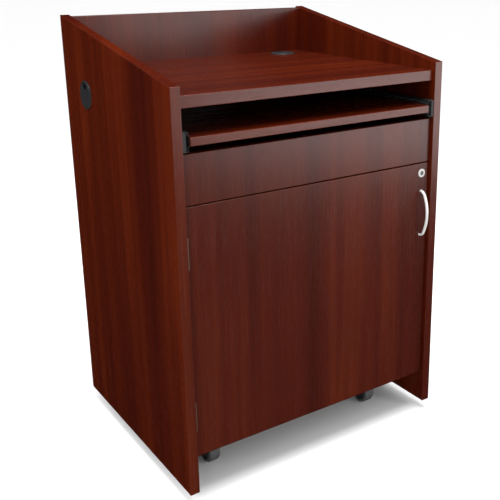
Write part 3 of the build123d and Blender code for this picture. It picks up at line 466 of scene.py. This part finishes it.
def ball_tree(material, sizes):
    """Geometry nodes: a row of balls along +Y from every point."""
    tree = bpy.data.node_groups.new("ball_rows", "GeometryNodeTree")
    named_inputs(tree, sizes)
    size = add(tree, "NodeGroupInput").outputs
    step = add(tree, "ShaderNodeCombineXYZ", {1: size["Pitch"]}).outputs[0]
    line = add(tree, "GeometryNodeMeshLine", {"Count": size["Count"], "Offset": step}).outputs[0]
    rows = add(tree, "GeometryNodeInstanceOnPoints", {"Points": size["Points"], "Instance": line}).outputs[0]
    places = add(tree, "GeometryNodeRealizeInstances", {0: rows}).outputs[0]
    ball = add(tree, "GeometryNodeMeshIcoSphere", {
        "Radius": size["Radius"], "Subdivisions": 3}).outputs["Mesh"]
    balls = add(tree, "GeometryNodeInstanceOnPoints", {"Points": places, "Instance": ball}).outputs[0]
    real = add(tree, "GeometryNodeRealizeInstances", {0: balls}).outputs[0]
    done = add(tree, "GeometryNodeSetMaterial", {"Geometry": real, "Material": material}).outputs[0]
    add(tree, "NodeGroupOutput", {0: done})
    return tree


def points_object(name, places):
    """Mesh of loose points, each with its axis attribute."""
    mesh = bpy.data.meshes.new(name)
    mesh.from_pydata([place for place, _ in places], [], [])
    axes = mesh.attributes.new("axis", "FLOAT_VECTOR", "POINT")
    for index, (_, axis) in enumerate(places):
        axes.data[index].vector = axis
    made = bpy.data.objects.new(name, mesh)
    bpy.context.scene.collection.objects.link(made)
    return made


def settled(made, tree, sizes):
    """Runs a geometry tree on an object and keeps the result as a plain mesh."""
    modifier = made.modifiers.new("nodes", "NODES")
    modifier.node_group = tree
    for item in tree.interface.items_tree:
        if item.in_out == "INPUT" and item.name in sizes:
            modifier[item.identifier] = sizes[item.name]
    graph = bpy.context.evaluated_depsgraph_get()
    result = bpy.data.meshes.new_from_object(made.evaluated_get(graph), depsgraph=graph)
    made.modifiers.remove(modifier)
    made.data = result
    if "axis" in result.attributes:
        result.attributes.remove(result.attributes["axis"])
    if not result.polygons:
        raise RuntimeError(f"{made.name} came out empty")
    return made


def screws(name, body, slot, nodes, material, places, **sizes):
    """One mesh of screws that stands for CAD nodes and rides on a body."""
    look = bpy.context.scene.lectern_fasteners
    full = {"Top Radius": 0.004, "Neck Radius": 0.004, "Head Height": 0.001, "Shank Radius": 0.002,
            "Shank Length": 0.01, "Recess Width": look.recess_width, "Recess Length": 0.004,
            "Recess Depth": look.recess_depth, "Cross Recess": True, "Sides": look.sides}
    for key, value in sizes.items():
        full[key.replace("_", " ")] = value
    full["Recess Length"] = full["Top Radius"] * 2 * look.recess_share
    made = settled(points_object(name, places), screw_tree(material, full), full)
    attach(made, body)
    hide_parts(*nodes)
    return made


def head_places(node, axis, facing, head_height):
    """Head seats of a node's screws along an axis; facing(centre) is the head's sign on that axis."""
    places = []
    for low, high in islands(node):
        centre = (low + high) / 2
        sign = facing(centre)
        seat = centre.copy()
        seat[axis] = (high[axis] if sign > 0 else low[axis]) - sign * head_height
        direction = Vector((0, 0, 0))
        direction[axis] = sign
        places.append((seat, direction))
    return places


# ---------------------------------------------------------------- operators
class LECTERN_OT_panels(Operator):
    """Give every board its own cut of wood-grain laminate"""

    bl_idname = "lectern.panels"
    bl_label = "Laminate Panels"

    def execute(self, context):
        cuts = {
            "left_side_panel": ("z", "y", (0.31, 0.52, 0.0)),
            "right_side_panel": ("z", "y", (1.37, 0.21, 0.4)),
            "back_panel": ("z", "x", (0.77, 1.9, 0.9)),
            "worktop": ("x", "x", (0.4, 1.13, 2.6)),
            "bottom_panel": ("x", "x", (3.1, 0.6, 1.6)),
            "front_apron": ("z", "x", (2.13, 0.4, 0.3)),
            "adjustable_shelf": ("x", "x", (4.4, 2.6, 0.6)),
            "door": ("z", "x", (2.13, 0.4, 0.3)),
            "keyboard_tray": ("x", "x", (1.9, 3.3, 1.1)),
        }
        for node, (run, edge_run, offset) in cuts.items():
            dress(laminate(f"{node}_laminate", run, edge_run, offset), node)
        return {"FINISHED"}


class LECTERN_OT_door_fittings(Operator):
    """Finish the handle, the lock and the hinges"""

    bl_idname = "lectern.door_fittings"
    bl_label = "Door Fittings"

    def execute(self, context):
        look = context.scene.lectern_fittings
        dress(brushed_metal("handle_nickel", look.nickel, "z", 0.30, 0.35), "door_handle")
        dress(brushed_metal("lock_nickel", look.lock, "x", 0.5, 0.3), "lock_barrel")
        # painted shade: the plug is coloured dark grey to stand in for the shaded keyway at the lock's centre
        dress(brushed_metal("plug_painted_keyway_shade", look.plug, "x", 0.5, 0.5), "lock_plug")
        dress(plated_steel("lock_zinc", look.zinc, 0.36), "lock_nut", "lock_cam")
        dress(plated_steel("hinge_bronze", look.hinge, 0.42), "hinge_pins", "upper_hinge_panel_leaf",
              "lower_hinge_panel_leaf", "upper_hinge_door_leaf", "lower_hinge_door_leaf")
        return {"FINISHED"}


class LECTERN_OT_slides(Operator):
    """Finish the tray's slides and their packers"""

    bl_idname = "lectern.slides"
    bl_label = "Tray Slides"

    def execute(self, context):
        look = context.scene.lectern_fittings
        black = coated_steel("slide_black", look.black)
        plastic = moulded_plastic("packer_plastic", look.plastic, 0.55, 2400.0, 0.25)
        for side in ("left", "right"):
            dress(plastic, f"{side}_slide_packer")
            dress(black, *[f"{side}_slide_{member}_member" for member in ("cabinet", "middle", "tray")])
        steel = plated_steel("ball_steel", look.zinc, 0.18)
        self.ball_rows(context, "outer_slide_balls", "cabinet", "middle", steel)
        self.ball_rows(context, "inner_slide_balls", "middle", "tray", steel)
        return {"FINISHED"}

    def ball_rows(self, context, name, holder, held, material):
        """The balls above and below one member of both slides; they ride with the middle members."""
        look = context.scene.lectern_fasteners
        places = []
        for side in ("left", "right"):
            outer, inner = (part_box(f"{side}_slide_{member}_member") for member in (holder, held))
            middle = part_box(f"{side}_slide_middle_member")
            x = (max(outer[0][0], inner[0][0]) + min(outer[1][0], inner[1][0])) / 2
            space = outer[1][2] - look.slide_metal - inner[1][2]
            row = (look.balls - 1) * look.ball_pitch
            y = middle[0][1] + look.row_inset if holder == "middle" else middle[1][1] - look.row_inset - row
            for z in (inner[0][2] - space / 2, inner[1][2] + space / 2):
                places.append(((x, y, z), (0, 0, 1)))
        sizes = {"Count": look.balls, "Pitch": look.ball_pitch, "Radius": (space - look.ball_play) / 2}
        made = settled(points_object(name, places), ball_tree(material, sizes), sizes)
        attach(made, "slide_middle")


class LECTERN_OT_grommets(Operator):
    """Finish the two cable grommets"""

    bl_idname = "lectern.grommets"
    bl_label = "Cable Grommets"

    def execute(self, context):
        look = context.scene.lectern_fittings
        dress(moulded_plastic("grommet_liner_plastic", look.grommet, 0.36, 1900.0, 0.35),
              "worktop_grommet_liner", "side_grommet_liner")
        dress(moulded_plastic("grommet_cap_plastic", look.grommet, 0.46, 2600.0, 0.22),
              "worktop_grommet_cap", "side_grommet_cap")
        return {"FINISHED"}


class LECTERN_OT_casters(Operator):
    """Finish the casters and their brake pedals"""

    bl_idname = "lectern.casters"
    bl_label = "Casters"

    def execute(self, context):
        look = context.scene.lectern_fittings
        steel = plated_steel("caster_zinc", look.zinc, 0.32)
        pedal = coated_steel("pedal_black", look.black)
        for corner in CORNERS:
            dress(steel, f"{corner}_caster_plate", f"{corner}_caster_fork", f"{corner}_caster_axle")
            low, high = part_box(f"{corner}_caster_wheel")
            centre = [(a + b) / 2 for a, b in zip(low, high)]
            dress(wheel_finish(f"{corner}_wheel_rubber", centre), f"{corner}_caster_wheel")
        dress(pedal, "front_left_brake_pedal", "front_right_brake_pedal")
        dress(steel, "shelf_pins")
        return {"FINISHED"}


class LECTERN_OT_screws(Operator):
    """Drive every screw, with the recess or flats of its head"""

    bl_idname = "lectern.screws"
    bl_label = "Screws"

    def execute(self, context):
        look = context.scene.lectern_fittings
        zinc = plated_steel("screw_zinc", look.zinc, 0.30)
        bronze = plated_steel("hinge_screw_bronze", look.hinge, 0.40)
        inward = lambda centre: -1 if centre.x > 0 else 1
        outward = lambda centre: 1 if centre.x > 0 else -1
        screws("slide_screw_set", "cabinet", "zinc_steel", ["slide_screws"], zinc,
               head_places("slide_screws", 0, inward, 0.0011), Head_Height=0.0011, Shank_Length=0.0197)
        screws("tray_screw_set", "tray", "zinc_steel", ["tray_screws"], zinc,
               head_places("tray_screws", 0, outward, 0.0011), Head_Height=0.0011, Shank_Length=0.0172)
        screws("hinge_panel_screw_set", "cabinet", "hinge_steel", ["hinge_panel_screws"], bronze,
               head_places("hinge_panel_screws", 0, lambda centre: 1, HINGE_SCREW["Head_Height"]),
               **HINGE_SCREW)
        screws("hinge_door_screw_set", "door", "hinge_steel", ["hinge_door_screws"], bronze,
               head_places("hinge_door_screws", 0, lambda centre: -1, HINGE_SCREW["Head_Height"]),
               **HINGE_SCREW)
        screws("handle_screw_set", "door", "zinc_steel", ["handle_screws"], zinc,
               head_places("handle_screws", 1, lambda centre: 1, 0.0026), Top_Radius=0.0032,
               Neck_Radius=0.004, Head_Height=0.0026, Shank_Length=0.0255, Recess_Depth=0.0016)
        screws("cam_screw_set", "lock", "zinc_steel", ["cam_screw"], zinc,
               head_places("cam_screw", 1, lambda centre: 1, 0.0024), Top_Radius=0.0042,
               Neck_Radius=0.005, Head_Height=0.0024, Shank_Radius=0.0016, Shank_Length=0.0097,
               Recess_Depth=0.0016)
        screws("caster_screw_set", "cabinet", "zinc_steel", ["caster_screws"], zinc,
               head_places("caster_screws", 2, lambda centre: -1, 0.003), Top_Radius=0.0055,
               Neck_Radius=0.0055, Head_Height=0.003, Shank_Radius=0.003, Shank_Length=0.023,
               Cross_Recess=False, Sides=6)
        dress(zinc, "panel_connectors")
        return {"FINISHED"}


class LECTERN_OT_stage(Operator):
    """Lay the floor, hang the lights and place the camera"""

    bl_idname = "lectern.stage"
    bl_label = "Studio"

    def softbox(self, name, place, target, width, height, power):
        """A soft rectangular light that faces its target."""
        data = bpy.data.lights.new(name, "AREA")
        data.shape = "RECTANGLE"
        data.size = width
        data.size_y = height
        data.energy = power
        light = bpy.data.objects.new(name, data)
        light.location = place
        light.rotation_euler = (Vector(target) - Vector(place)).to_track_quat("-Z", "Y").to_euler()
        light.visible_camera = False
        bpy.context.scene.collection.objects.link(light)
        return light

    def floor(self, look):
        """A wide pale floor with a faint tooth."""
        mesh = bpy.data.meshes.new("floor")
        corners = ((-1, -1), (1, -1), (1, 1), (-1, 1))
        mesh.from_pydata([(x * FLOOR_HALF, y * FLOOR_HALF, 0) for x, y in corners], [], [(0, 1, 2, 3)])
        floor = bpy.data.objects.new("floor", mesh)
        bpy.context.scene.collection.objects.link(floor)
        material, tree, shader = blank("floor_paint")
        place, _ = placed(tree, (0.0, 0.0, 0.0))
        cloud = noise(tree, place, 3.0, 3.0)
        tint = mixed(tree, spread(tree, cloud, 0.3, 0.7), scaled(look.floor, 0.985), opaque(look.floor))
        join(tree, shader, Base_Color=tint, Roughness=0.9, Specular_IOR_Level=0.1)
        mesh.materials.append(material)
        floor.visible_glossy = False

    def execute(self, context):
        scene = context.scene
        look = scene.lectern_studio
        self.floor(look)
        sheen = self.softbox("sheen_light", (2.0, -2.35, 0.80), (0.15, -0.31, 0.85), 2.6, 1.3, 46.0)
        sheen.visible_diffuse = False
        key = self.softbox("key_light", (1.5, -2.9, 1.5), (0.2, -0.3, 0.85), 0.25, 0.25, 12.0)
        self.softbox("top_light", (0.0, -0.5, 3.0), (0.0, 0.0, 1.0), 1.8, 1.8, 100.0)
        front = self.softbox("front_light", (0.8, -2.0, 2.2), (0.1, -0.31, 0.95), 1.0, 1.0, 6.0)
        left = self.softbox("left_light", (-2.2, -0.1, 2.0), (-0.4, 0.0, 0.8), 1.2, 1.2, 31.0)
        for fill in (key, front, left):
            fill.visible_glossy = False
        world = bpy.data.worlds.new("studio")
        world.use_nodes = True
        background = world.node_tree.nodes["Background"]
        background.inputs["Color"].default_value = (1.0, 1.0, 1.0, 1.0)
        background.inputs["Strength"].default_value = look.ambient
        world.cycles_visibility.glossy = False
        scene.world = world
        scene.view_settings.view_transform = "Standard"
        data = bpy.data.cameras.new("camera")
        data.lens = look.lens
        data.sensor_width = 36.0
        data.shift_x = look.sideways
        data.shift_y = look.upwards
        data.clip_end = 200.0
        camera = bpy.data.objects.new("camera", data)
        camera.location = look.place
        camera.rotation_euler = (pi / 2 - look.tilt, 0.0, look.turn)
        scene.collection.objects.link(camera)
        scene.camera = camera
        return {"FINISHED"}


class LECTERN_PT_tools(Panel):
    """Every step of the lectern stand"""

    bl_idname = "LECTERN_PT_tools"
    bl_label = "Lectern Stand"
    bl_space_type = "VIEW_3D"
    bl_region_type = "UI"
    bl_category = "Lectern"

    def draw(self, context):
        for operator in OPERATORS:
            self.layout.operator(operator.bl_idname)
        for group in SETTINGS:
            column = self.layout.column()
            held = getattr(context.scene, group)
            for name in held.bl_rna.properties.keys():
                if name not in ("rna_type", "name"):
                    column.prop(held, name)


OPERATORS = (LECTERN_OT_stage, LECTERN_OT_panels, LECTERN_OT_door_fittings, LECTERN_OT_slides,
             LECTERN_OT_grommets, LECTERN_OT_casters, LECTERN_OT_screws)
SETTINGS = {
    "lectern_laminate": LaminateSettings,
    "lectern_fittings": FittingSettings,
    "lectern_fasteners": FastenerSettings,
    "lectern_studio": StudioSettings,
}


def register():
    """Registers the settings, the operators and the panel."""
    for name, group in SETTINGS.items():
        bpy.utils.register_class(group)
        setattr(bpy.types.Scene, name, PointerProperty(type=group))
    for item in (*OPERATORS, LECTERN_PT_tools):
        bpy.utils.register_class(item)


def unregister():
    """Removes what register added."""
    for item in (LECTERN_PT_tools, *reversed(OPERATORS)):
        bpy.utils.unregister_class(item)
    for name, group in SETTINGS.items():
        delattr(bpy.types.Scene, name)
        bpy.utils.unregister_class(group)


def main():
    """Runs every step in order."""
    register()
    for operator in OPERATORS:
        step = getattr(bpy.ops.lectern, operator.bl_idname.split(".")[1])
        if step() != {"FINISHED"}:
            raise RuntimeError(f"{operator.bl_label} did not finish")


if __name__ == "__main__":
    main()
